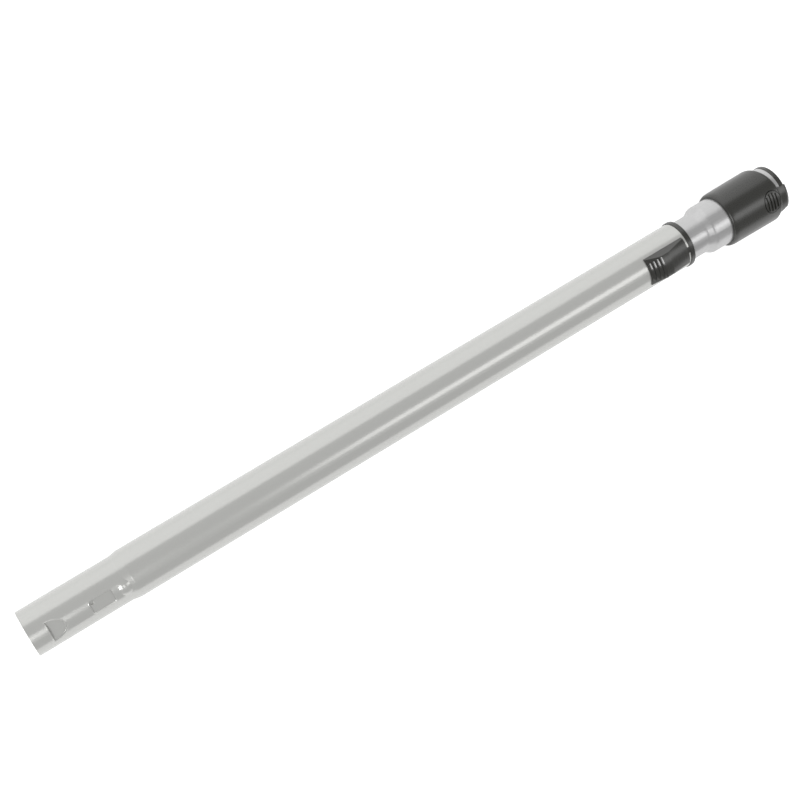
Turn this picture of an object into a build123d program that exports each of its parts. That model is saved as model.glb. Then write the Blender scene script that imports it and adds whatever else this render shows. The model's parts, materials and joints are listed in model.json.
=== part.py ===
# Telescopic suction tube: a painted steel outer tube, a bright inner tube that draws out of it,
# a sliding release on the outer tube's end, and a black socket with a press latch on the inner one.
# Its lower mouth is at the origin, and all catches sit in one row along it. The pieces are drawn with
# the tube along +X, and each finished piece is then turned about +Z by the tube's heading.

import os
from math import cos, degrees, radians, sin, sqrt, tan

from build123d import *

# How the tube lies: its heading from +X, and how far the row of catches points above level
heading = 180.0
catch_rise = 64.7

# General clearances
running_gap = 0.3
slip_gap = 0.03
seat_gap = 0.35
fit_gap = 0.15

# Outer tube
tube_od = 37.3
tube_wall = 0.8
outer_length = 569.6
spigot_land = 66.0
neck_step = 1.15
neck_swell = 0.06
neck_start = 73.0
neck_length = 5.5
neck_round = 4.0

# Pressings in the spigot
dent_start = 13.1
dent_length = 11.5
dent_width = 15.6
dent_depth = 2.5
dent_far_depth = 1.2
pocket_start = 45.1
pocket_length = 17.2
pocket_width = 10.4
pocket_depth = 1.2
pocket_corner = 2.0
press_slope = 30.0
pit_diameter = 3.2
pit_depth = 0.9
pip_centre = 72.0
pip_diameter = 9.6
pip_height = 1.2

# Inner tube
bush_room = 1.1
inner_wall = 0.8
inner_set_in = 11.5
flare_clear = 16.0
flare_length = 5.9
flare_round = 5.0
cup_length = 67.6

# Guide groove and lock dents pressed into the inner tube
groove_width = 13.0
groove_depth = 2.3
groove_runout = 8.0
lock_dent_length = 8.2
lock_dent_width = 7.2
lock_dent_depth = 1.5
lock_spacing = 21.0

# Guide bush in the outer tube's end
bush_length = 60.0
ring_proud = 0.75
ring_width = 4.3
ring_round = 0.9
key_start = 3.4
key_length = 20.0
tongue_length = 7.6
tongue_width = 4.4
tongue_height = 0.6

# Guide and seal on the inner tube's lower end
end_guide_length = 20.0
end_guide_lip = 1.5
seal_place = 8.0
seal_width = 4.0
seal_depth = 0.45
seal_proud = 0.12
stop_gap = 0.4

# Release slider
slider_gap = 2.4
slider_length = 37.1
slider_ridge_place = 14.9
slider_ridge_flat = 7.3
slider_base_width = 22.4
slider_top_width = 18.4
slider_low_edge = 1.0
slider_ridge_height = 5.35
slider_ring_edge = 1.6
slider_shell = 0.8
slider_end_wall = 1.6
slider_travel = 2.0
slider_hollow_width = 13.6
rib_count = 4
rib_spacing = 3.05
rib_first = 1.4
rib_width = 2.0
rib_crest = 0.7
rib_height = 0.55
rib_half_angle = 21.0
slider_reach = 50.0

# Lock bolt, and the window that it works in
bolt_length = 6.8
bolt_width = 6.4
bolt_head = 0.95
ear_length = 1.6
ear_width = 1.3
ear_slope = 0.5
bolt_bevel = 1.0
rail_gap = 0.15
rail_land = 1.0
window_width = 9.4
window_before_bolt = 7.6
window_after_bolt = 15.0
leg_length = 2.6
barb_width = 1.3
barb_height = 0.6
web_wall = 1.0

# Springs
coil_radius = 1.1
coil_wire = 0.44
coil_turns = 5
coil_sides = 6
leaf_thickness = 0.25
leaf_play = 0.12
leaf_width = 5.0
leaf_root_length = 6.0

# Socket sleeve and liner
sleeve_length = 44.6
sleeve_setback = 7.3
sleeve_lip_wall = 1.3
sleeve_round_length = 4.5
sleeve_round_height = 1.6
sleeve_swell = 0.5
sleeve_slant = 11.5
sleeve_edge_round = 2.4
lug_reach = 0.2
lug_height = 1.6
lug_tip_height = 0.8
lug_up_angle = 20.0
lug_down_angle = 34.0
rim_proud = 0.3
rim_width = 4.1
rim_round = 0.9
liner_wall = 1.62
socket_relief = 0.3
socket_land = 31.0
socket_depth = 50.0
socket_stop = 2.0
liner_tail = 8.0
mouth_chamfer = 1.7

# Press latch in the sleeve
pad_setback = 5.1
pad_length = 15.2
pad_width = 17.8
pad_gap = 0.5
pad_proud = 0.1
pad_rib_count = 4
pad_rib_spacing = 2.9
pad_rib_height = 0.5
pad_rib_width = 1.5
pad_rib_crest = 0.6
pad_margin = 1.3
pad_half_angle = 40.0
pivot_ahead = 2.9
pivot_rise = 0.85
pivot_pin = 1.8
pivot_pin_length = 13.0
arm_width = 6.8
arm_gap = 0.6
hub_half = 1.25
hub_length = 5.0
hook_arm = 13.0
hook_length = 4.0
hook_reach = 1.1
hook_tip = 1.0
hook_room = 1.2
latch_window_past = 6.0
arm_join = 2.6
latch_skin = 0.55
pad_underside = 1.9
pad_underside_taper = 1.0
spring_shift = 1.0
spring_span = 9.0
spring_width = 6.0

# Worked out from the sizes above
tube_r = tube_od / 2
tube_in_r = tube_r - tube_wall
spigot_r = tube_r - neck_step
neck_end = neck_start + neck_length
inner_r = tube_in_r - bush_room
inner_in_r = inner_r - inner_wall
inner_start = neck_end + inner_set_in
bore_r = spigot_r + fit_gap
liner_r = bore_r + liner_wall
flare_in_r = liner_r + slip_gap
flare_r = flare_in_r + inner_wall
flare_start = outer_length + ring_width + flare_clear
flare_full = flare_start + flare_length
inner_end = flare_full + cup_length
groove_floor = inner_r - groove_depth
bush_start = outer_length - bush_length
bush_in_r = inner_r + running_gap
ring_r = tube_r + ring_proud
slider_end = outer_length - slider_gap
slider_start = slider_end - slider_length
slider_ridge = slider_start + slider_ridge_place
slider_in_r = tube_r + running_gap
bolt_centre = slider_ridge
window_start = bolt_centre - window_before_bolt
window_end = bolt_centre + window_after_bolt
rim_end = inner_end + rim_width
rim_r = flare_r + rim_proud
sleeve_end = inner_end - sleeve_setback
sleeve_start = sleeve_end - sleeve_length
sleeve_in_r = flare_r + slip_gap
sleeve_round_r = sleeve_in_r + sleeve_lip_wall + sleeve_round_height
pad_centre = sleeve_end - pad_setback
pad_start = pad_centre - pad_length / 2
pad_end = pad_centre + pad_length / 2
pivot_place = pad_start - pivot_ahead
pivot_radius = flare_r + pivot_rise
hook_place = pivot_place - hook_arm
travel = bush_start - stop_gap - inner_start - end_guide_length
lock_count = int(travel / lock_spacing) + 1
far = 2 * tube_od

AXIS = Vector(1, 0, 0)
CATCH = Vector(0, -cos(radians(catch_rise)), sin(radians(catch_rise)))
ACROSS = Vector(0, sin(radians(catch_rise)), cos(radians(catch_rise)))

# Looking in at the catches: x runs along the tube and y across it
ABOVE = Plane(origin=(0, 0, 0), x_dir=AXIS, z_dir=CATCH)


def side_plane(turn=0.0):
    """The plane that holds the tube's axis and lies turn degrees from the catches, toward ACROSS."""
    out = CATCH * cos(radians(turn)) + ACROSS * sin(radians(turn))
    return Plane(origin=(0, 0, 0), x_dir=AXIS, z_dir=AXIS.cross(out))


def outline(points, turn=0.0, rounding=None):
    """A closed outline in a side plane, from points of (along the tube, out from its axis).

    rounding is (from, to, radius): the corners off the axis between two places are rounded.
    """
    with BuildSketch(side_plane(turn)) as flat:
        with BuildLine():
            Polyline(*points, close=True)
        make_face()
        if rounding:
            first, last, radius = rounding
            corners = flat.vertices().filter_by(lambda v: v.Y > radius)
            fillet(corners.filter_by(lambda v: first - slip_gap < v.X < last + slip_gap), radius)
    return flat.sketch


def block(x0, x1, out0, out1, across0, across1):
    """A straight-sided block, placed along the tube, out from its axis and across the catches."""
    with BuildPart() as made:
        with BuildSketch(ABOVE.offset(out0)):
            with Locations(((x0 + x1) / 2, (across0 + across1) / 2)):
                Rectangle(x1 - x0, across1 - across0)
        extrude(amount=out1 - out0)
    return made.part


def turned_arc(points, half_angle):
    """An outline turned about the tube's axis, as far to each side of the catches."""
    with BuildPart() as made:
        revolve(outline(points, half_angle), axis=Axis.X, revolution_arc=2 * half_angle)
    return made.part


def groove_key(x0, x1, foot, half, limit):
    """A key that fits the inner tube's groove, with its crown rounded to the tube's own curve."""
    with BuildPart() as key:
        add(block(x0, x1, foot, far, -half, half))
        revolve(outline([(x0, 0), (x1, 0), (x1, limit), (x0, limit)]), axis=Axis.X, mode=Mode.INTERSECT)
    return key.part


def write(made, name):
    """Turns a finished piece to the tube's heading, labels it and writes it to its own file."""
    laid = made.part.rotate(Axis.Z, heading)
    laid.label = name
    export_step(laid, f"parts/{name}.step")


os.makedirs("parts", exist_ok=True)


# Outer tube: a necked spigot that carries the floor tool, with its pressings, then the full tube
def outer_wall(inset):
    """The outer tube's outline from its mouth to its far end, inset by the wall for the inside."""
    return outline(
        [
            (0, spigot_r - inset),
            (spigot_land, spigot_r - inset),
            (neck_start, spigot_r + neck_swell - inset),
            (neck_end, tube_r - inset),
            (outer_length, tube_r - inset),
            (outer_length, 0),
            (0, 0),
        ],
        rounding=(neck_start, neck_end, neck_round),
    )


def tool_dent(inset):
    """The D-shaped dent that a tool's hook drops into: steep toward the mouth, rising up the tube."""
    start = dent_start - inset
    end = dent_start + dent_length + inset
    floor = spigot_r - dent_depth - inset
    rise = 2 * dent_depth
    with BuildPart() as dent:
        with BuildSketch(ABOVE.offset(floor)):
            with Locations((dent_start, 0)):
                Ellipse(dent_length + inset, dent_width / 2 + inset)
        extrude(amount=rise, taper=-press_slope)
        extrude(
            outline([
                (start, floor),
                (end, floor + dent_depth - dent_far_depth),
                (end + rise, floor + rise),
                (start, floor + rise),
            ]),
            amount=dent_width,
            both=True,
            mode=Mode.INTERSECT,
        )
    return dent.part


def spigot_pocket(inset):
    """The flat-bottomed oblong pocket, with a round pit in the corner nearest the mouth."""
    floor = spigot_r - pocket_depth - inset
    with BuildPart() as pocket:
        with BuildSketch(ABOVE.offset(floor)):
            with Locations((pocket_start + pocket_length / 2, 0)):
                RectangleRounded(pocket_length + 2 * inset, pocket_width + 2 * inset, pocket_corner)
        extrude(amount=2 * pocket_depth, taper=-press_slope)
        with BuildSketch(ABOVE.offset(floor - pit_depth)):
            with Locations((pocket_start + pocket_corner, pocket_width / 2 - pocket_corner)):
                Circle(pit_diameter / 2 + inset)
        extrude(amount=pit_depth + pocket_depth)
    return pocket.part


def pip_ball(inset):
    """The ball whose cap is the round stop at the neck."""
    half = pip_diameter / 2
    ball_r = (half ** 2 + pip_height ** 2) / (2 * pip_height)
    out = spigot_r + neck_swell + pip_height - ball_r
    with BuildPart(ABOVE.offset(out)) as ball:
        with Locations((pip_centre, 0)):
            Sphere(ball_r - inset)
    return ball.part


with BuildPart() as outer_bore:
    revolve(outer_wall(tube_wall), axis=Axis.X)
    add(tool_dent(tube_wall), mode=Mode.SUBTRACT)
    add(spigot_pocket(tube_wall), mode=Mode.SUBTRACT)
    add(pip_ball(tube_wall))

with BuildPart() as outer_tube:
    revolve(outer_wall(0), axis=Axis.X)
    add(pip_ball(0))
    add(tool_dent(0), mode=Mode.SUBTRACT)
    add(spigot_pocket(0), mode=Mode.SUBTRACT)
    add(outer_bore.part, mode=Mode.SUBTRACT)
    add(block(window_start, window_end, 0, far, -window_width / 2, window_width / 2), mode=Mode.SUBTRACT)
write(outer_tube, "outer_tube")


# Guide bush: a thin plastic lining with a ring on the tube's end, a key and a tongue for the slider
bush_window = window_width / 2 + barb_width + seat_gap
with BuildPart() as guide_bush:
    revolve(
        outline([
            (bush_start, bush_in_r),
            (bush_start, tube_in_r - slip_gap),
            (outer_length, tube_in_r - slip_gap),
            (outer_length, ring_r),
            (outer_length + ring_width, ring_r),
            (outer_length + ring_width, bush_in_r),
        ]),
        axis=Axis.X,
    )
    ring_edges = guide_bush.edges().filter_by(GeomType.CIRCLE)
    fillet(ring_edges.filter_by(lambda e: abs(e.radius - ring_r) < slip_gap), ring_round)
    add(block(window_start, window_end - slip_gap, 0, far, -bush_window, bush_window), mode=Mode.SUBTRACT)
    add(groove_key(
        bush_start + key_start, bush_start + key_start + key_length,
        groove_floor + seat_gap, groove_width / 2 - seat_gap, (bush_in_r + tube_in_r) / 2,
    ))
    add(turned_arc(
        [
            (outer_length - tongue_length, tube_r + slip_gap),
            (outer_length + slip_gap, tube_r + slip_gap),
            (outer_length + slip_gap, tube_r + tongue_height),
            (outer_length - tongue_length, tube_r + tongue_height),
        ],
        degrees(tongue_width / tube_od),
    ))
write(guide_bush, "guide_bush")


# Release slider: a hipped thumb piece with ribs on its lower slope, hollow beneath
lower_run = slider_ridge_place - slider_ridge_flat / 2
upper_run = slider_length - slider_ridge_place - slider_ridge_flat / 2
lower_rise = (slider_ridge_height - slider_low_edge) / lower_run
upper_fall = (slider_ridge_height - slider_ring_edge) / upper_run


def roof_out(x):
    """How far out from the axis the slider's roof stands at a place along the tube."""
    lower = slider_low_edge + lower_rise * (x - slider_start)
    upper = slider_ring_edge + upper_fall * (slider_end - x)
    return tube_r + min(slider_ridge_height, lower, upper)


def slider_roof(inset, start, end, foot):
    """The slider's long section between two places, down to foot, with its roof lowered by inset."""
    crest_start = slider_ridge - slider_ridge_flat / 2
    crest_end = slider_ridge + slider_ridge_flat / 2
    tops = [(x, roof_out(x) - inset) for x in (start, crest_start, crest_end, end)]
    return tops + [(end, foot), (start, foot)]


base_out = sqrt(slider_in_r ** 2 - (slider_base_width / 2) ** 2)
top_out = sqrt(roof_out(slider_ridge) ** 2 - (slider_top_width / 2) ** 2)
flank = (slider_base_width - slider_top_width) / 2 / (top_out - base_out)
slider_ceiling = tube_r + 2 * slider_ridge_height


def flank_half(out):
    """Half the slider's width at a height out from the tube's axis."""
    return slider_top_width / 2 - flank * (out - top_out)


with BuildPart() as slider_hollow:
    hollow_start = slider_start + slider_end_wall
    hollow_end = slider_end - slider_end_wall
    hollow_half = slider_hollow_width / 2
    add(turned_arc(slider_roof(slider_shell, hollow_start, hollow_end, inner_r), slider_reach))
    add(block(hollow_start, hollow_end, 0, far, -hollow_half, hollow_half), mode=Mode.INTERSECT)

# The bolt's ears ride up two sloped rails in the slider, so pushing the slider lifts the bolt
ear_near = bolt_width / 2
ear_far = ear_near + ear_width
ear_face = tube_r + running_gap
rail_foot = tube_r - running_gap
rail_end = bolt_centre + (ear_face - rail_gap - rail_foot) / ear_slope
rail_start = bolt_centre - ear_length / 2 - slider_travel
rail_top = ear_face - rail_gap + ear_slope * (bolt_centre - rail_start)
rail = [
    (rail_start - rail_land, rail_foot),
    (rail_end, rail_foot),
    (rail_start, rail_top),
    (rail_start - rail_land, rail_top),
]

# Barbed legs hold the slider down through the tube's window, and a web takes the return spring
leg_near = ear_near + running_gap
leg_far = window_width / 2 - seat_gap
barb_far = leg_far + barb_width
barb_top = sqrt(tube_in_r ** 2 - barb_far ** 2) - running_gap
barb_foot = barb_top - barb_height
leg_places = [window_start + seat_gap, bolt_centre + bolt_length / 2 + seat_gap]
web_end = leg_places[1] + leg_length

with BuildPart() as release_slider:
    add(turned_arc(slider_roof(0, slider_start, slider_end, slider_in_r), slider_reach))
    with BuildSketch(Plane(origin=(slider_start, 0, 0), x_dir=ACROSS, z_dir=AXIS)):
        with BuildLine():
            Polyline(
                (-flank_half(0), 0),
                (flank_half(0), 0),
                (flank_half(slider_ceiling), slider_ceiling),
                (-flank_half(slider_ceiling), slider_ceiling),
                close=True,
            )
        make_face()
    extrude(amount=slider_length, mode=Mode.INTERSECT)
    for rib in range(rib_count):
        place = slider_start + rib_first + rib * rib_spacing
        add(turned_arc(
            [
                (place - rib_width / 2, roof_out(place) - rib_height),
                (place - rib_crest / 2, roof_out(place) + rib_height),
                (place + rib_crest / 2, roof_out(place) + rib_height),
                (place + rib_width / 2, roof_out(place) - rib_height),
            ],
            rib_half_angle,
        ))
    add(slider_hollow.part, mode=Mode.SUBTRACT)
    notch_half = tongue_width / 2 + seat_gap
    notch_start = outer_length - tongue_length - slider_travel - seat_gap
    notch_top = tube_r + tongue_height + seat_gap
    add(block(notch_start, slider_end, 0, notch_top, -notch_half, notch_half), mode=Mode.SUBTRACT)
    extrude(outline(rail), amount=hollow_half + slip_gap, both=True)
    add(
        block(rail_start - rail_land, rail_end, 0, rail_top + slip_gap, -leg_near, leg_near),
        mode=Mode.SUBTRACT,
    )
    for place in leg_places:
        leg_top = sqrt((roof_out(place) - slider_shell / 2) ** 2 - leg_far ** 2)
        for side in (-1, 1):
            near, beyond = sorted((side * leg_near, side * leg_far))
            add(block(place, place + leg_length, barb_foot, leg_top, near, beyond))
            near, beyond = sorted((side * leg_near, side * barb_far))
            add(block(place, place + leg_length, barb_foot, barb_top, near, beyond))
    add(block(web_end - web_wall, web_end, barb_foot, ear_face, -leg_far, leg_far))
write(release_slider, "release_slider")


# Lock bolt: drops into the inner tube's dents, with an ear on each side
bolt_tip = groove_floor + seat_gap
bolt_top = tube_r + bolt_head
bolt_back = bolt_centre - bolt_length / 2
bolt_front = bolt_centre + bolt_length / 2
ear_drop = ear_slope * ear_length / 2
with BuildPart() as lock_bolt:
    extrude(
        outline([
            (bolt_back, bolt_tip + bolt_bevel),
            (bolt_back + bolt_bevel, bolt_tip),
            (bolt_front - bolt_bevel, bolt_tip),
            (bolt_front, bolt_tip + bolt_bevel),
            (bolt_front, bolt_top),
            (bolt_back, bolt_top),
        ]),
        amount=bolt_width / 2,
        both=True,
    )
    extrude(
        outline([
            (bolt_centre - ear_length / 2, ear_face + ear_drop),
            (bolt_centre + ear_length / 2, ear_face - ear_drop),
            (bolt_centre + ear_length / 2, bolt_top),
            (bolt_centre - ear_length / 2, bolt_top),
        ]),
        amount=ear_far,
        both=True,
    )
write(lock_bolt, "lock_bolt")


# Bolt spring: a bent leaf under the slider's roof that presses the bolt inward
leaf_root = bolt_back - leaf_root_length
leaf_rest = bolt_top + slip_gap
leaf_high = sqrt((roof_out(leaf_root) - slider_shell) ** 2 - (leaf_width / 2) ** 2) - slip_gap - leaf_thickness
with BuildPart() as bolt_spring:
    extrude(
        outline([
            (leaf_root, leaf_high),
            (bolt_back, leaf_high),
            (bolt_centre, leaf_rest),
            (bolt_front, leaf_rest),
            (bolt_front, leaf_rest + leaf_thickness),
            (bolt_centre, leaf_rest + leaf_thickness),
            (bolt_back, leaf_high + leaf_thickness),
            (leaf_root, leaf_high + leaf_thickness),
        ]),
        amount=leaf_width / 2,
        both=True,
    )
write(bolt_spring, "bolt_spring")


# Slider spring: a small coil between the slider's web and the end of the bush's window
coil_start = web_end + coil_wire / 2 + slip_gap
coil_length = window_end - coil_wire / 2 - running_gap - coil_start
coil_out = (tube_in_r + bush_in_r) / 2
with BuildPart() as slider_spring:
    with BuildLine() as coil_path:
        Helix(
            pitch=coil_length / coil_turns,
            height=coil_length,
            radius=coil_radius,
            center=AXIS * coil_start + CATCH * coil_out,
            direction=AXIS,
        )
    coil = coil_path.edges()[0]
    with BuildSketch(Plane(origin=coil @ 0, z_dir=coil % 0)):
        RegularPolygon(coil_wire / 2, coil_sides)
    sweep(path=coil, is_frenet=True)
write(slider_spring, "slider_spring")


# Inner tube: grooved and dented along the catches, and flared into the socket
def inner_wall_outline(inset):
    """The inner tube's outline from its lower end to the flared one, inset for the inside."""
    return outline(
        [
            (inner_start, inner_r - inset),
            (flare_start, inner_r - inset),
            (flare_full, flare_r - inset),
            (inner_end, flare_r - inset),
            (inner_end, 0),
            (inner_start, 0),
        ],
        rounding=(flare_start, flare_full, flare_round),
    )


def guide_groove(inset):
    """The flat-bottomed groove with its sloped end, and the row of lock dents in its floor."""
    floor = groove_floor - inset
    dent_floor = floor - lock_dent_depth
    with BuildPart() as groove:
        extrude(
            outline([
                (inner_start, floor),
                (flare_start - groove_runout, floor),
                (flare_start, inner_r - inset),
                (flare_start, far),
                (inner_start, far),
            ]),
            amount=groove_width / 2 + inset,
            both=True,
        )
        with BuildSketch(ABOVE.offset(dent_floor)):
            with Locations([(bolt_centre - step * lock_spacing, 0) for step in range(lock_count)]):
                Rectangle(lock_dent_length + 2 * inset, lock_dent_width + 2 * inset)
        extrude(amount=lock_dent_depth)
    return groove.part


latch_window_start = hook_place - hook_room
latch_window_end = pivot_place + latch_window_past
latch_window_half = arm_width / 2 + arm_gap + running_gap
with BuildPart() as inner_bore:
    revolve(inner_wall_outline(inner_wall), axis=Axis.X)
    add(guide_groove(inner_wall), mode=Mode.SUBTRACT)

with BuildPart() as inner_tube:
    revolve(inner_wall_outline(0), axis=Axis.X)
    add(guide_groove(0), mode=Mode.SUBTRACT)
    add(inner_bore.part, mode=Mode.SUBTRACT)
    add(
        block(latch_window_start, latch_window_end, 0, far, -latch_window_half, latch_window_half),
        mode=Mode.SUBTRACT,
    )
write(inner_tube, "inner_tube")


# End guide and seal: ride in the outer tube and stop against the bush at full reach
seal_r = tube_in_r - running_gap
guide_r = seal_r - seal_proud
seal_start = inner_start + seal_place
with BuildPart() as end_guide:
    revolve(
        outline([
            (inner_start - end_guide_lip, inner_in_r),
            (inner_start - end_guide_lip, guide_r),
            (seal_start, guide_r),
            (seal_start, guide_r - seal_depth),
            (seal_start + seal_width, guide_r - seal_depth),
            (seal_start + seal_width, guide_r),
            (inner_start + end_guide_length, guide_r),
            (inner_start + end_guide_length, inner_r + slip_gap),
            (inner_start - slip_gap, inner_r + slip_gap),
            (inner_start - slip_gap, inner_in_r),
        ]),
        axis=Axis.X,
    )
    add(groove_key(
        inner_start - end_guide_lip / 2, inner_start + end_guide_length,
        groove_floor + slip_gap, groove_width / 2 - slip_gap, guide_r - seal_depth,
    ))
write(end_guide, "end_guide")

with BuildPart() as seal_ring:
    revolve(
        outline([
            (seal_start + slip_gap, guide_r - seal_depth + slip_gap),
            (seal_start + seal_width - slip_gap, guide_r - seal_depth + slip_gap),
            (seal_start + seal_width - slip_gap, guide_r),
            (seal_start + seal_width / 2, seal_r),
            (seal_start + slip_gap, guide_r),
        ]),
        axis=Axis.X,
    )
write(seal_ring, "seal_ring")


# Press latch: a rocker with a ribbed pad near the mouth and a hook deeper in the socket
def sleeve_out(x):
    """How far out from the axis the sleeve's long wall stands at a place along the tube."""
    swell_start = sleeve_start + sleeve_round_length
    return sleeve_round_r + sleeve_swell * (x - swell_start) / (sleeve_end - swell_start)


def oval(grow):
    """The pad's oval, grown all round, as a straight post through the sleeve."""
    with BuildPart() as post:
        with BuildSketch(ABOVE):
            with Locations((pad_centre, 0)):
                Ellipse(pad_length / 2 + grow, pad_width / 2 + grow)
        extrude(amount=far)
    return post.part


pad_top = sleeve_out(pad_centre) + pad_proud
pad_under_near = pad_top - pad_underside
pad_under_far = pad_under_near + pad_underside_taper
arm_foot = pivot_radius - hub_half
arm_top = pivot_radius - slip_gap
hub_top = pivot_radius + hub_half
hook_out = bore_r - hook_reach
with BuildPart() as pad_ribs:
    for rib in range(pad_rib_count):
        place = pad_centre + (rib - (pad_rib_count - 1) / 2) * pad_rib_spacing
        add(turned_arc(
            [
                (place - pad_rib_width / 2, pad_top - pad_rib_height),
                (place - pad_rib_crest / 2, pad_top + pad_rib_height),
                (place + pad_rib_crest / 2, pad_top + pad_rib_height),
                (place + pad_rib_width / 2, pad_top - pad_rib_height),
            ],
            pad_half_angle,
        ))
    add(oval(-pad_margin), mode=Mode.INTERSECT)

with BuildPart() as latch_lever:
    add(turned_arc(
        [(pad_start, pad_under_near), (pad_end, pad_under_far), (pad_end, pad_top), (pad_start, pad_top)],
        pad_half_angle,
    ))
    add(oval(0), mode=Mode.INTERSECT)
    add(pad_ribs.part)
    extrude(
        outline([
            (hook_place, hook_out),
            (hook_place + hook_tip, hook_out),
            (hook_place + hook_length, arm_foot),
            (pivot_place + hub_length / 2, arm_foot),
            (pad_start + arm_join, pad_under_near),
            (pad_start + 2 * arm_join, pad_under_near + hub_half / 2),
            (pad_start, hub_top),
            (pivot_place - hub_length / 2, hub_top),
            (pivot_place - hub_length, arm_top),
            (hook_place, arm_top),
        ]),
        amount=arm_width / 2,
        both=True,
    )
    with BuildSketch(side_plane()):
        with Locations((pivot_place, pivot_radius)):
            Circle(pivot_pin / 2 + slip_gap)
    extrude(amount=arm_width, both=True, mode=Mode.SUBTRACT)
write(latch_lever, "latch_lever")

with BuildPart() as latch_pin:
    with BuildSketch(side_plane()):
        with Locations((pivot_place, pivot_radius)):
            Circle(pivot_pin / 2)
    extrude(amount=pivot_pin_length / 2, both=True)
write(latch_pin, "latch_pin")


# Latch spring: a bowed leaf on the flare that pushes the pad outward
bow_foot = flare_r + slip_gap
bow_rise = pad_under_near - leaf_thickness - leaf_play - bow_foot
spring_place = pad_centre + spring_shift
with BuildPart() as latch_spring:
    with BuildSketch(side_plane()):
        with BuildLine():
            bow_start = (spring_place - spring_span / 2, bow_foot)
            bow_end = (spring_place + spring_span / 2, bow_foot)
            inside = ThreePointArc(bow_start, (spring_place, bow_foot + bow_rise), bow_end)
            outside = ThreePointArc(
                (bow_start[0], bow_foot + leaf_thickness),
                (spring_place, bow_foot + bow_rise + leaf_thickness),
                (bow_end[0], bow_foot + leaf_thickness),
            )
            Line(inside @ 0, outside @ 0)
            Line(inside @ 1, outside @ 1)
        make_face()
    extrude(amount=spring_width / 2, both=True)
write(latch_spring, "latch_spring")


# Socket liner: lines the flare, stops the mating spigot and covers the tube's end with its rim
stop_place = rim_end - socket_depth
land_end = rim_end - mouth_chamfer
land_start = land_end - socket_land
with BuildPart() as socket_liner:
    revolve(
        outline([
            (stop_place - socket_stop - liner_tail, inner_in_r),
            (stop_place - socket_stop - liner_tail, liner_r),
            (inner_end, liner_r),
            (inner_end, rim_r),
            (rim_end, rim_r),
            (rim_end, bore_r + mouth_chamfer),
            (land_end, bore_r),
            (land_start, bore_r),
            (land_start - socket_relief, bore_r + socket_relief),
            (stop_place, bore_r + socket_relief),
            (stop_place, inner_in_r),
        ]),
        axis=Axis.X,
    )
    rim_edges = socket_liner.edges().filter_by(GeomType.CIRCLE)
    fillet(rim_edges.filter_by(lambda e: abs(e.radius - rim_r) < slip_gap), rim_round)
    add(
        block(latch_window_start, land_start - socket_relief, 0, far, -latch_window_half, latch_window_half),
        mode=Mode.SUBTRACT,
    )
write(socket_liner, "socket_liner")


# Connector sleeve: a swelling black sleeve, cut on a slant, with a lug over the rim by the latch
sleeve_long = rim_end + tube_od
slant = tan(radians(sleeve_slant))
latch_roof = sleeve_out(pivot_place) - latch_skin
pocket_half = degrees((arm_width / 2 + arm_gap) / pivot_radius)
with BuildPart() as connector_sleeve:
    with BuildSketch(side_plane()):
        with BuildLine():
            lip = (sleeve_start, sleeve_in_r + sleeve_lip_wall)
            shoulder = (sleeve_start + sleeve_round_length, sleeve_round_r)
            Polyline((sleeve_long, sleeve_in_r), (sleeve_start, sleeve_in_r), lip)
            EllipticalCenterArc(
                (shoulder[0], lip[1]), sleeve_round_length, sleeve_round_height, start_angle=90, arc_size=90
            )
            Polyline(shoulder, (sleeve_long, sleeve_out(sleeve_long)), (sleeve_long, sleeve_in_r))
        make_face()
    revolve(axis=Axis.X)
    extrude(
        outline([
            (sleeve_end - slant * far, -far),
            (sleeve_end + slant * far, far),
            (sleeve_long + far, far),
            (sleeve_long + far, -far),
        ]),
        amount=far,
        both=True,
        mode=Mode.SUBTRACT,
    )
    end_face = connector_sleeve.faces().sort_by(Axis.X)[-1]
    fillet(end_face.outer_wire().edges(), sleeve_edge_round)
    lug_in = rim_r + slip_gap
    lug = [
        (sleeve_end, lug_in),
        (rim_end + lug_reach, lug_in),
        (rim_end + lug_reach, lug_in + lug_tip_height),
        (rim_end - lug_height, lug_in + lug_height),
        (sleeve_end, lug_in + lug_height),
    ]
    revolve(outline(lug, lug_up_angle), axis=Axis.X, revolution_arc=lug_up_angle + lug_down_angle)
    add(oval(pad_gap), mode=Mode.SUBTRACT)
    add(
        turned_arc(
            [
                (latch_window_start, flare_r / 2),
                (pad_centre, flare_r / 2),
                (pad_centre, latch_roof),
                (latch_window_start, latch_roof),
            ],
            pocket_half,
        ),
        mode=Mode.SUBTRACT,
    )
    with BuildSketch(side_plane()):
        with Locations((pivot_place, pivot_radius)):
            Circle(pivot_pin / 2 + slip_gap)
    extrude(amount=pivot_pin_length / 2 + slip_gap, both=True, mode=Mode.SUBTRACT)
write(connector_sleeve, "connector_sleeve")
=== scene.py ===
# %% [markdown]
# # A telescopic suction tube
#
# The tube lies on a pale studio floor and is seen from above. A painted steel tube slides over a bright
# one, and every part that a hand touches is black plastic. The measured solids are already right in
# shape, so this lesson is about finishes, light and camera, and about a few small pieces that the photo
# shows more sharply than the solids do.

# %% Load the measured solids
import json
import math

import bmesh
import bpy
from mathutils import Matrix, Vector


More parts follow.
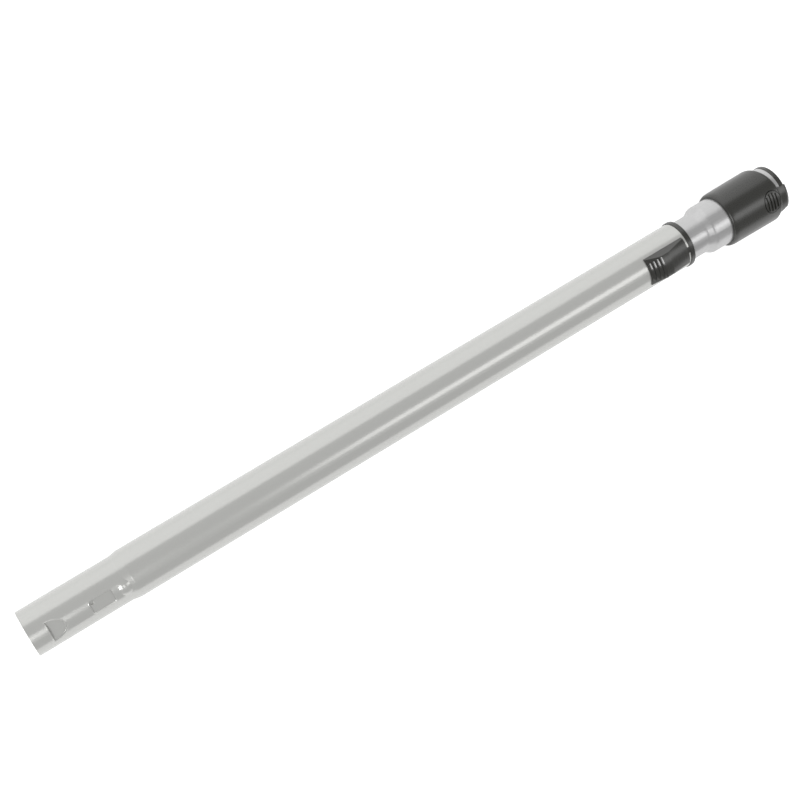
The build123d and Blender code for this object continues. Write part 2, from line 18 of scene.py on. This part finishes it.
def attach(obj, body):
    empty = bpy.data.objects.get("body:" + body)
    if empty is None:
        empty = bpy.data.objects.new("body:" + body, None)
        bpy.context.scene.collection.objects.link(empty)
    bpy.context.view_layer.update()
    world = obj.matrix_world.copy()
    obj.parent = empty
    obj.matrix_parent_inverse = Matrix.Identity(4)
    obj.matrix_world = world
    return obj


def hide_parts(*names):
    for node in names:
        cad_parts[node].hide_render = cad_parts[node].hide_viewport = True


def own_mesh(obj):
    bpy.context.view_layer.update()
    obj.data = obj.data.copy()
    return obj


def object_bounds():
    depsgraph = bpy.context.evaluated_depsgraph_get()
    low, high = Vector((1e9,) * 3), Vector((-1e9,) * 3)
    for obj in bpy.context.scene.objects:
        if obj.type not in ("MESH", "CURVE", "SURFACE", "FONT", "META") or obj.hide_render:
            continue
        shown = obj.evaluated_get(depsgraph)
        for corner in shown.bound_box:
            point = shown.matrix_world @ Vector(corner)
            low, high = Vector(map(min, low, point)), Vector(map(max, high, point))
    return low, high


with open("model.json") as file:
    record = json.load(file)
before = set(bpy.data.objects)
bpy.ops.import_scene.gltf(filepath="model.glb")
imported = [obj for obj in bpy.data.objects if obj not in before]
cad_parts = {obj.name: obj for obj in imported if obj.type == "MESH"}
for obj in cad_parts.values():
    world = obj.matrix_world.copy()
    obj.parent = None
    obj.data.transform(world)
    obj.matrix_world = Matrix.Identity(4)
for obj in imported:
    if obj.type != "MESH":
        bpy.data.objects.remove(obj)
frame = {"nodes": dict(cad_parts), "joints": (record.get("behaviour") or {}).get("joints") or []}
cad_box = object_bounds()
nodes = frame["nodes"]
print("pieces:", ", ".join(sorted(nodes)))

# %% [markdown]
# ## Directions
#
# The tube's catches stand in one row, and the row points up and to one side. New pieces and the camera are
# placed by three directions: along the tube, out through the row of catches, and across it. The model
# knows the first two, because the inner tube slides along one and the lock bolt along the other. The lamps
# are placed by the tube and the floor instead: along the tube, beyond it on the far side, and up.

# %% Find the directions
joint_axis = {joint["name"]: Vector(joint["axis"]).normalized() for joint in frame["joints"]}
along = joint_axis["telescope"]
out = joint_axis["bolt_lift"]
across = out.cross(along)
up = Vector((0, 0, 1))
beyond = up.cross(along)


def spot(x, toward_catches, sideways):
    """A point or a direction, from its parts along the tube and its catches."""
    return along * x + out * toward_catches + across * sideways


def room_spot(x, far_side, height):
    """A point, from its parts along the tube, beyond it and above its axis."""
    return along * x + beyond * far_side + up * height


print("the catches point to", [round(part, 3) for part in out])

# %% [markdown]
# ## Writing finishes as sums
#
# A finish is a small sum over noise patterns. Linking Math nodes by hand hides the sum, so one class
# wraps a socket and lets Python's own operators add the nodes, and one method adds any other node.


# %% Helper for sums
class Value:
    """One output of a node, which can be added and multiplied as a number can."""

    def __init__(self, owner, socket):
        self.owner = owner
        self.socket = socket

    def sum(self, operation, first, second):
        """Adds a Math node for two values or numbers."""
        return self.owner.node("ShaderNodeMath", {"operation": operation}, {0: first, 1: second})

    def __add__(self, other):
        return self.sum("ADD", self, other)

    def __radd__(self, other):
        return self.sum("ADD", other, self)

    def __mul__(self, other):
        return self.sum("MULTIPLY", self, other)

    def __rmul__(self, other):
        return self.sum("MULTIPLY", other, self)


class Nodes:
    """A node tree, with the method that adds nodes to it and the one that fills a socket."""

    def __init__(self, tree):
        self.tree = tree

    def node(self, kind, settings, sockets, output=0):
        """Adds a node: first its settings, then a number, a colour or another node for each socket."""
        made = self.tree.nodes.new(kind)
        for name, setting in settings.items():
            setattr(made, name, setting)
        for name, value in sockets.items():
            self.feed(made.inputs[name], value)
        return Value(self, made.outputs[output])

    def feed(self, socket, value):
        """Links a node's output to a socket, or writes a plain value there."""
        if isinstance(value, Value):
            self.tree.links.new(value.socket, socket)
        else:
            socket.default_value = value


# %% [markdown]
# ## One kind of finish for all
#
# Every surface here is one Principled shader. What is the same all over is written on the shader's own
# sockets. What changes over the surface is fed in from a noise. The noise reads Object coordinates, so it
# sits still on its piece when the tube is drawn out.

# %% Helper for finishes
mix_dark, mix_light, mixed_colour = 6, 7, 2  # a Mix node's colour sockets come after those for numbers


class Finish(Nodes):
    """A material with one Principled shader, whose plain values are set by their names."""

    def __init__(self, name, **constants):
        self.material = bpy.data.materials.new(name)
        self.material.use_nodes = True
        super().__init__(self.material.node_tree)
        self.shader = self.tree.nodes["Principled BSDF"]
        for socket, value in constants.items():
            self.shader.inputs[socket.replace("_", " ")].default_value = value
        print("finish:", name)

    def vary(self, socket, value):
        """Lets one of the shader's sockets change over the surface."""
        self.feed(self.shader.inputs[socket], value)

    def noise(self, scale, stretch=(1, 1, 1), detail=2.0):
        """A noise from 0 to 1 that sits still on the piece, drawn out along the axes by stretch."""
        place = self.node("ShaderNodeTexCoord", {}, {}, "Object")
        drawn = self.node("ShaderNodeMapping", {}, {"Vector": place, "Scale": stretch})
        return self.node("ShaderNodeTexNoise", {}, {"Vector": drawn, "Scale": scale, "Detail": detail})

    def shade(self, amount, dark, light):
        """A colour between two, by an amount from 0 to 1."""
        sockets = {"Factor": amount, mix_dark: dark, mix_light: light}
        return self.node("ShaderNodeMix", {"data_type": "RGBA"}, sockets, mixed_colour)

    def grain(self, height, strength, distance):
        """Raises the surface a little by a noise, in the shading alone."""
        sockets = {"Height": height, "Strength": strength, "Distance": distance}
        self.vary("Normal", self.node("ShaderNodeBump", {}, sockets))


# %% [markdown]
# ## Silver paint
#
# The outer tube is sprayed with a silver-grey metallic paint. Plain grey would look like plastic, and a
# full metal would look like chrome. So the shader stands between the two, and a thin clear top layer adds
# soft bands. Metal flakes show as a grain that is finer than a millimetre, so a fine noise changes the
# colour and the gloss by a little, and a broad one adds faint clouds.

# %% Make the silver paint
silver_paint = Finish("silver paint", Metallic=0.4, Coat_Weight=0.2, Coat_Roughness=0.1)
flakes = silver_paint.noise(scale=1600)
clouds = silver_paint.noise(scale=9, stretch=(0.3, 1, 1))
paint_dark = (0.50, 0.502, 0.485, 1)
paint_light = (0.58, 0.582, 0.563, 1)
silver_paint.vary("Base Color", silver_paint.shade(flakes * 0.7 + clouds * 0.3, paint_dark, paint_light))
silver_paint.vary("Roughness", 0.2 + 0.06 * flakes)
silver_paint.grain(flakes, strength=0.05, distance=0.0001)

# %% [markdown]
# ## Bright steel
#
# The inner tube is plated and polished. Drawing it through a die leaves hair lines along it. A picture of
# scratches could draw them, but a noise stretched along the tube does it at any size. It changes how
# blurred the reflections are, and the colour by a little.

# %% Make the bright steel
bright_steel = Finish("bright steel", Metallic=0.75)
hair_lines = bright_steel.noise(scale=900, stretch=(0.012, 1, 1))
steel_dark = (0.46, 0.46, 0.46, 1)
steel_light = (0.54, 0.54, 0.54, 1)
bright_steel.vary("Base Color", bright_steel.shade(hair_lines, steel_dark, steel_light))
bright_steel.vary("Roughness", 0.27 + 0.1 * hair_lines)

# %% [markdown]
# ## Black plastic
#
# Sleeve, slider, ring and latch are moulded in black plastic with a satin skin. A mould's fine spark
# grain breaks up the highlights. It is too fine to model, so a small bump does it.

# %% Make the black plastic
plastic_black = (0.011, 0.011, 0.0075, 1)
plastic_gloss = 0.85
black_plastic = Finish("black plastic", Base_Color=plastic_black, Specular_IOR_Level=plastic_gloss)
spark_grain = black_plastic.noise(scale=2200, detail=3.0)
black_plastic.vary("Roughness", 0.24 + 0.08 * spark_grain)
black_plastic.grain(spark_grain, strength=0.12, distance=0.00008)

# %% [markdown]
# ## Small inside pieces
#
# The bolt is zinc, the springs are bare spring steel, and the seal is rubber. They show only through
# gaps and when the tube is drawn out, so plain finishes are enough.

# %% Make the finishes of the inside pieces
zinc = Finish("zinc", Base_Color=(0.46, 0.47, 0.49, 1), Metallic=1.0, Roughness=0.42)
spring_steel = Finish("spring steel", Base_Color=(0.42, 0.41, 0.40, 1), Metallic=1.0, Roughness=0.3)
seal_rubber = Finish("seal rubber", Base_Color=(0.022, 0.022, 0.022, 1), Roughness=0.75)

# %% [markdown]
# ## Dressing the solids
#
# A solid could be rebuilt with finer faces, but its mesh is already as fine as the picture needs. So it
# keeps its mesh and only gets a better finish in its one material slot. Most pieces are black plastic,
# and the list names the others.

# %% Give each piece its finish
finish_of = {
    "outer_tube": silver_paint,
    "inner_tube": bright_steel,
    "lock_bolt": zinc,
    "bolt_spring": spring_steel,
    "slider_spring": spring_steel,
    "latch_spring": spring_steel,
    "latch_pin": spring_steel,
    "seal_ring": seal_rubber,
}
for name, node in nodes.items():
    for slot in node.material_slots:
        slot.material = finish_of.get(name, black_plastic).material
print("dressed", len(nodes), "pieces")

# %% [markdown]
# ## New pieces
#
# A new piece is shaped as a small mesh. One helper turns the finished shape into an object: it merges
# doubles, turns the faces outward, shades them smooth but keeps the sharp edges, and lets the object ride
# on the body that carries it.

# %% Helper for new pieces
weld = 0.000001
sharp_angle = math.radians(20)


def piece(name, shape, body, finish):
    """Makes an object from a shape, with its sharp edges kept, and lets it ride on a body."""
    bmesh.ops.remove_doubles(shape, verts=shape.verts, dist=weld)
    bmesh.ops.recalc_face_normals(shape, faces=shape.faces)
    for face in shape.faces:
        face.smooth = True
    for edge in shape.edges:
        edge.smooth = edge.calc_face_angle(0.0) < sharp_angle
    mesh = bpy.data.meshes.new(name)
    shape.to_mesh(mesh)
    shape.free()
    mesh.materials.append(finish.material)
    made = bpy.data.objects.new(name, mesh)
    bpy.context.scene.collection.objects.link(made)
    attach(made, body)
    print(name, "with", len(mesh.polygons), "faces")
    return made


# %% [markdown]
# ## Spring copies
#
# Pushing the slider or the latch presses three springs, and a solid can't be pressed. A spring could be
# modelled anew for each pose, but one script has to serve them all. So a copy stands for each spring and
# rides on the body that carries it, and the solid spring is hidden. The direction points from the seat to
# the end that moves, and the length is how much the spring is shortened.

# %% Copy the springs
springs = {
    "slider_spring": ("slider", "release_slide", along, 0.0020),
    "bolt_spring": ("slider", "release_slide", -out, 0.0010),
    "latch_spring": ("inner", "latch_press", out, 0.0010),
}
for name, (body, joint, away, shut) in springs.items():
    shape = bmesh.new()
    shape.from_mesh(nodes[name].data)
    bmesh.ops.transform(shape, matrix=nodes[name].matrix_world, verts=shape.verts)
    reach = [vert.co.dot(away) for vert in shape.verts]
    seat = min(reach)
    free_length = max(reach) - seat
    spring = piece(f"soft_{name}", shape, body, spring_steel)
    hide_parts(name)
    away * seat
    1 - shut / free_length
    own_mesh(spring)
    print(name, "gives", round(1000 * shut, 2), "of", round(1000 * free_length, 2), "mm")

# %% [markdown]
# ## Turning an outline
#
# Ribs and steps on a round tube are bars that follow its curve. A straight bar could be bent to it, but
# turning is simpler: an outline beside the tube's axis is turned about it, a little to both sides. A bevel
# then takes the edges off, because moulded edges are never quite sharp.

# %% Helpers for turned shapes
turn_steps = 20
edge_round = 0.00015
axis_point = (0, 0, 0)


def turned(outline, reach):
    """A shape from (along, out) points, turned about the tube's axis by reach to both sides."""
    shape = bmesh.new()
    corners = [shape.verts.new(spot(x, height, 0)) for x, height in outline]
    end = shape.faces.new(corners)
    turn = Matrix.Rotation(-reach, 3, along)
    bmesh.ops.rotate(shape, verts=corners, cent=axis_point, matrix=turn)
    start = [*corners, *end.edges, end]
    bmesh.ops.spin(shape, geom=start, cent=axis_point, axis=along, angle=2 * reach, steps=turn_steps)
    return shape


def turned_bar(outline, reach):
    """A turned shape with its sharp edges rounded."""
    bar = turned(outline, reach)
    sharp = [edge for edge in bar.edges if edge.calc_face_angle(0.0) > sharp_angle]
    bmesh.ops.bevel(
        bar, geom=sharp, offset=edge_round, segments=2, profile=0.5, affect="EDGES", material=-1
    )
    return bar


# %% [markdown]
# ## Steps for the thumb
#
# The photo shows bright bars across the slider's lower slope, which the solid's low ribs don't give. So
# each rib gets a step over it, whose top is steeper than the slope and mirrors the bright box beyond the
# tube's lower end. Thumbs have worn the steps smooth, so they are glossier than the other plastic. Each
# one is turned by itself, because each sits higher on the slope than the one before.

# %% Turn the thumb steps
worn_plastic = Finish(
    "worn plastic", Base_Color=plastic_black, Specular_IOR_Level=plastic_gloss, Roughness=0.15
)
step_places = [0.53150, 0.53455, 0.53760, 0.54065]
roof_start, roof_low, roof_rise = 0.5301, 0.01965, 0.3867
step_half, step_lift, step_foot = 0.00098, 0.00082, 0.0009
step_tilt = math.radians(37)
step_reach = math.radians(21.5)

for number, place in enumerate(step_places):
    roof = roof_low + roof_rise * (place - roof_start)
    rise = math.tan(step_tilt) * step_half
    step_outline = [
        (place - step_half, roof - step_foot),
        (place + step_half, roof - step_foot),
        (place + step_half, roof + step_lift + rise),
        (place - step_half, roof + step_lift - rise),
    ]
    step = turned_bar(step_outline, step_reach)
    piece(f"thumb_step_{number + 1}", step, "slider", worn_plastic)

# %% [markdown]
# ## Ribs on the latch
#
# The latch's oval pad has ribs in the photo, with dark gaps between them. Darker paint in the gaps would
# look flat from the side, so a taller bar goes over each rib of the solid. Its length follows the oval,
# and its height is measured from the solid's own crest.

# %% Turn the latch ribs
pad_middle, pad_long, pad_half, pad_margin = 0.6510, 0.0076, 0.0089, 0.0013
rib_count, rib_spacing = 4, 0.0029
foot_half, foot_depth, top_half, top_rise = 0.00065, 0.0012, 0.0004, 0.0005
lever = nodes["latch_lever"]
crest = max((lever.matrix_world @ vert.co).dot(out) for vert in lever.data.vertices)

for number in range(rib_count):
    shift = (number - (rib_count - 1) / 2) * rib_spacing
    place = pad_middle + shift
    rib_half = pad_half * math.sqrt(1 - (shift / pad_long) ** 2) - pad_margin
    rib_outline = [
        (place - foot_half, crest - foot_depth),
        (place + foot_half, crest - foot_depth),
        (place + top_half, crest + top_rise),
        (place - top_half, crest + top_rise),
    ]
    rib = turned_bar(rib_outline, math.asin(rib_half / crest))
    piece(f"latch_rib_{number + 1}", rib, "latch", black_plastic)

# %% [markdown]
# ## Where the groove ends
#
# The solid's guide groove runs up to the flare, but the photo shows a plain round tube above the ring.
# So one piece closes the groove's last part. A flat strip would leave a flat on the tube, so the piece is
# turned from the tube's own outline, with the bend into the flare. It begins with a slope of its own
# below the ring, where the lock bolt never comes.

# %% Turn the outline of the closed tube
groove_half, groove_floor, steel_radius = 0.0066, 0.01445, 0.01675
close_start, close_full = 0.5579, 0.5659
ramp_start, ramp_end = 0.5819, 0.5899
flare_bend, bend_radius, skin = 0.5887, 0.005, 0.00002
bend_shares = (1.0, 0.75, 0.5, 0.25, 0.0)
below_floor = 0.0135
closing_reach = math.radians(27)

bend = []
for share in bend_shares:
    run = share * (ramp_end - flare_bend)
    bend.append((flare_bend + run, steel_radius + skin + run ** 2 / (2 * bend_radius)))
underside = [(close_start, below_floor), (ramp_end, below_floor)]
first_slope = [(close_full, steel_radius + skin), (close_start, groove_floor)]
closing = turned([*underside, *bend, *first_slope], closing_reach)
print("turned", len(closing.faces), "faces")

# %% [markdown]
# ## Cutting to the groove
#
# The turned piece is wider and deeper than the groove. Four planes cut it to the groove's two walls, its
# floor and the slope at its end, and each cut is closed with a face.

# %% Cut the piece to the groove
ramp_fall = spot(steel_radius - groove_floor, ramp_start - ramp_end, 0)
groove_planes = [
    (spot(0, 0, groove_half), across),
    (spot(0, 0, -groove_half), -across),
    (spot(0, groove_floor, 0), -out),
    (spot(ramp_start, groove_floor, 0), ramp_fall),
]
for place, away in groove_planes:
    whole = [*closing.verts, *closing.edges, *closing.faces]
    kept = bmesh.ops.bisect_plane(closing, geom=whole, plane_co=place, plane_no=away, clear_outer=True)
    rim = [part for part in kept["geom_cut"] if isinstance(part, bmesh.types.BMEdge)]
    bmesh.ops.holes_fill(closing, edges=rim)
piece("groove_end", closing, "inner", bright_steel)

# %% [markdown]
# ## Rolled edges
#
# A press tool rounds the edge of sheet that it pulls down, and a round edge always catches some lamp. The
# solid's edges are sharp, and its mesh is left alone, so a thin bead lies sunk in the edge of the dent
# and of the pocket. The walls slope outward from the floor's outline, so the edge is where that slope
# meets the spigot's skin. The width of the slope and the height of the skin depend on each other, so they
# are worked out in turns until they agree.

# %% Helpers for the edges
spigot_radius = 0.0175
wall_slope = math.tan(math.radians(30))
settling_turns = 20


def skin_height(side):
    """How far out the spigot's skin is at a place to the side of the catches."""
    return math.sqrt(spigot_radius ** 2 - side ** 2)


def edge_point(floor, x, side, lean_x, lean_side):
    """Where a wall from a floor point, leaning in a direction, meets the skin."""
    width = 0.0
    for _ in range(settling_turns):
        width = (skin_height(side + lean_side * width) - floor) * wall_slope
    return x + lean_x * width, side + lean_side * width


# %% Find the edge of the dent
dent_start, dent_long, dent_half, dent_floor = 0.0131, 0.0115, 0.0078, 0.0150
round_steps, straight_steps = 40, 16
dent_edge = []
for number in range(round_steps + 1):
    angle = math.radians(180 * number / round_steps - 90)
    lean = Vector((math.cos(angle) / dent_long, math.sin(angle) / dent_half)).normalized()
    x = dent_start + dent_long * math.cos(angle)
    side = dent_half * math.sin(angle)
    dent_edge.append(edge_point(dent_floor, x, side, *lean))
corner = dent_edge[-1][1]
for number in range(1, straight_steps):
    dent_edge.append((dent_start, corner * (1 - 2 * number / straight_steps)))
print("dent edge:", len(dent_edge), "points")

# %% Find the edge of the pocket
pocket_middle, pocket_long, pocket_half = 0.0537, 0.0086, 0.0052
pocket_round, pocket_floor = 0.0020, 0.0163
corner_steps = 8
pocket_corners = [(1, 1), (-1, 1), (-1, -1), (1, -1)]
pocket_edge = []
for quarter, (far, off) in enumerate(pocket_corners):
    for number in range(corner_steps + 1):
        angle = math.radians(90 * (quarter + number / corner_steps))
        lean = Vector((math.cos(angle), math.sin(angle)))
        x = pocket_middle + far * (pocket_long - pocket_round) + pocket_round * lean.x
        side = off * (pocket_half - pocket_round) + pocket_round * lean.y
        pocket_edge.append(edge_point(pocket_floor, x, side, *lean))
print("pocket edge:", len(pocket_edge), "points")

# %% [markdown]
# ## Beads along the edges
#
# No single mesh operator sweeps a round section along a path. A curve with a bevel depth does, so each
# bead is a closed curve that is made into a mesh.

# %% Lay a bead along each edge
bead_radius, bead_sunk = 0.0007, 0.00055
sunk_share = 1 - bead_sunk / spigot_radius
for name, edge in {"dent_edge": dent_edge, "pocket_edge": pocket_edge}.items():
    curve = bpy.data.curves.new(name, "CURVE")
    curve.dimensions = "3D"
    curve.bevel_depth = bead_radius
    curve.bevel_resolution = 2
    line = curve.splines.new("POLY")
    line.points.add(len(edge) - 1)
    line.use_cyclic_u = True
    for point, (x, side) in zip(line.points, edge):
        point.co = (*spot(x, skin_height(side) * sunk_share, side * sunk_share), 1)
    wire = bpy.data.objects.new(name, curve)
    round_wire = bpy.data.meshes.new_from_object(wire)
    bead = bmesh.new()
    bead.from_mesh(round_wire)
    bpy.data.objects.remove(wire)
    bpy.data.curves.remove(curve)
    bpy.data.meshes.remove(round_wire)
    piece(name, bead, "outer", silver_paint)

# %% [markdown]
# ## Floor
#
# The floor touches the lowest point of the tube. The camera and mirrors should see it as white paper,
# but it has to keep the tube's shadow, and more light would bleach the tube. So it is a white surface
# that also gives off a little light, only toward the camera and in reflections.

# %% Lay the floor
floor_half = 6.0
floor_height = cad_box[0][2]
floor_mesh = bpy.data.meshes.new("floor")
floor_shape = bmesh.new()
bmesh.ops.create_grid(floor_shape, x_segments=1, y_segments=1, size=floor_half)
bmesh.ops.translate(floor_shape, verts=floor_shape.verts, vec=(0, 0, floor_height))
floor_shape.to_mesh(floor_mesh)
floor_shape.free()
floor = bpy.data.objects.new("floor", floor_mesh)
bpy.context.scene.collection.objects.link(floor)
print("floor at", round(floor_height, 4))

# %% Make the paper
glow_seen = 0.7
glow_mirrored = 0.5
paper_white = (0.86, 0.86, 0.86, 1)
paper = Finish(
    "paper", Base_Color=paper_white, Roughness=0.9, Specular_IOR_Level=0.0, Emission_Strength=1.0
)
seen = paper.node("ShaderNodeLightPath", {}, {}, "Is Camera Ray")
mirrored = paper.node("ShaderNodeLightPath", {}, {}, "Is Glossy Ray")
through = paper.node("ShaderNodeLightPath", {}, {}, "Is Transmission Ray")
paper.vary("Emission Color", glow_seen * (seen + through) + glow_mirrored * mirrored)
floor_mesh.materials.append(paper.material)

# %% [markdown]
# ## Light
#
# The bands on the tube could be painted on, but they would stay put when the view turns. So they are
# reflections of four soft boxes. A tall one stands beyond the tube's far side and gives the broad upper
# band. A long one and a short one hang overhead on the near side and give the narrow band: the long one
# serves the upper half of the tube, the short one its lower end. A small bright one hangs beyond the
# lower end, and from the camera it shows in small faces: the thumb steps, the pip and the rolled edges.

# %% Hang the soft boxes
aim_middle = room_spot(0.33, 0.0, 0.0)


def soft_box(name, place, width, height, power):
    """A rectangular lamp that faces the tube's middle, with its width along the tube."""
    lamp = bpy.data.lights.new(name, "AREA")
    lamp.shape = "RECTANGLE"
    lamp.size = width
    lamp.size_y = height
    lamp.energy = power
    box = bpy.data.objects.new(name, lamp)
    facing = (place - aim_middle).normalized()
    side = along - facing * along.dot(facing)
    side.normalize()
    turn = Matrix((side, facing.cross(side), facing)).transposed().to_4x4()
    box.matrix_world = Matrix.Translation(place) @ turn
    bpy.context.scene.collection.objects.link(box)
    print(name, [round(part, 2) for part in place], "power", power)


soft_box("far soft box", room_spot(0.33, 1.26, 0.6), width=2.6, height=1.36, power=10)
soft_box("long soft box", room_spot(1.25, -0.62, 1.25), width=1.6, height=0.55, power=4.6)
soft_box("short soft box", room_spot(-0.13, -0.62, 1.25), width=0.3, height=0.5, power=0.9)
soft_box("bright box", room_spot(-0.89, -0.57, 1.25), width=0.38, height=0.8, power=8)

# %% [markdown]
# ## Room
#
# Between the soft boxes the room is left darker, because dark stretches are what make metal look like
# metal. It still fills the shadows. Only where the camera looks past the floor is the room white.

# %% Let the room fill the shadows
room_level = 0.5
world = bpy.data.worlds.new("room")
world.use_nodes = True
bpy.context.scene.world = world
room = Nodes(world.node_tree)
backdrop = room.tree.nodes["Background"]
backdrop.inputs["Color"].default_value = (1, 1, 1, 1)
looked_at = room.node("ShaderNodeLightPath", {}, {}, "Is Camera Ray")
room.feed(backdrop.inputs["Strength"], room_level + (1 - room_level) * looked_at)
print("room level", room_level)

# %% [markdown]
# ## Camera
#
# The camera looks down on the tube, a little past the row of catches, with a lens a bit longer than
# normal. It could be set by eye, but its place was fitted to the edges of the tube in the photo. The place
# is given by the same three directions as the pieces, so it follows the catches.

# %% Set the camera
camera_place = spot(0.0361, 0.91872, 0.43821)
camera_aim = spot(0.31266, -0.00603, 0.00479)
camera_up = spot(0.49469, -0.24311, 0.83437)
backward = (camera_place - camera_aim).normalized()
right = camera_up.cross(backward).normalized()
upward = backward.cross(right)

lens = bpy.data.cameras.new("camera")
lens.lens = 64.025
lens.sensor_width = 36.0
camera = bpy.data.objects.new("camera", lens)
turn = Matrix((right, upward, backward)).transposed().to_4x4()
camera.matrix_world = Matrix.Translation(camera_place) @ turn
bpy.context.scene.collection.objects.link(camera)
bpy.context.scene.camera = camera
bpy.context.scene.view_settings.view_transform = "Standard"
print("camera", round((camera_place - camera_aim).length, 3), "m from the tube")
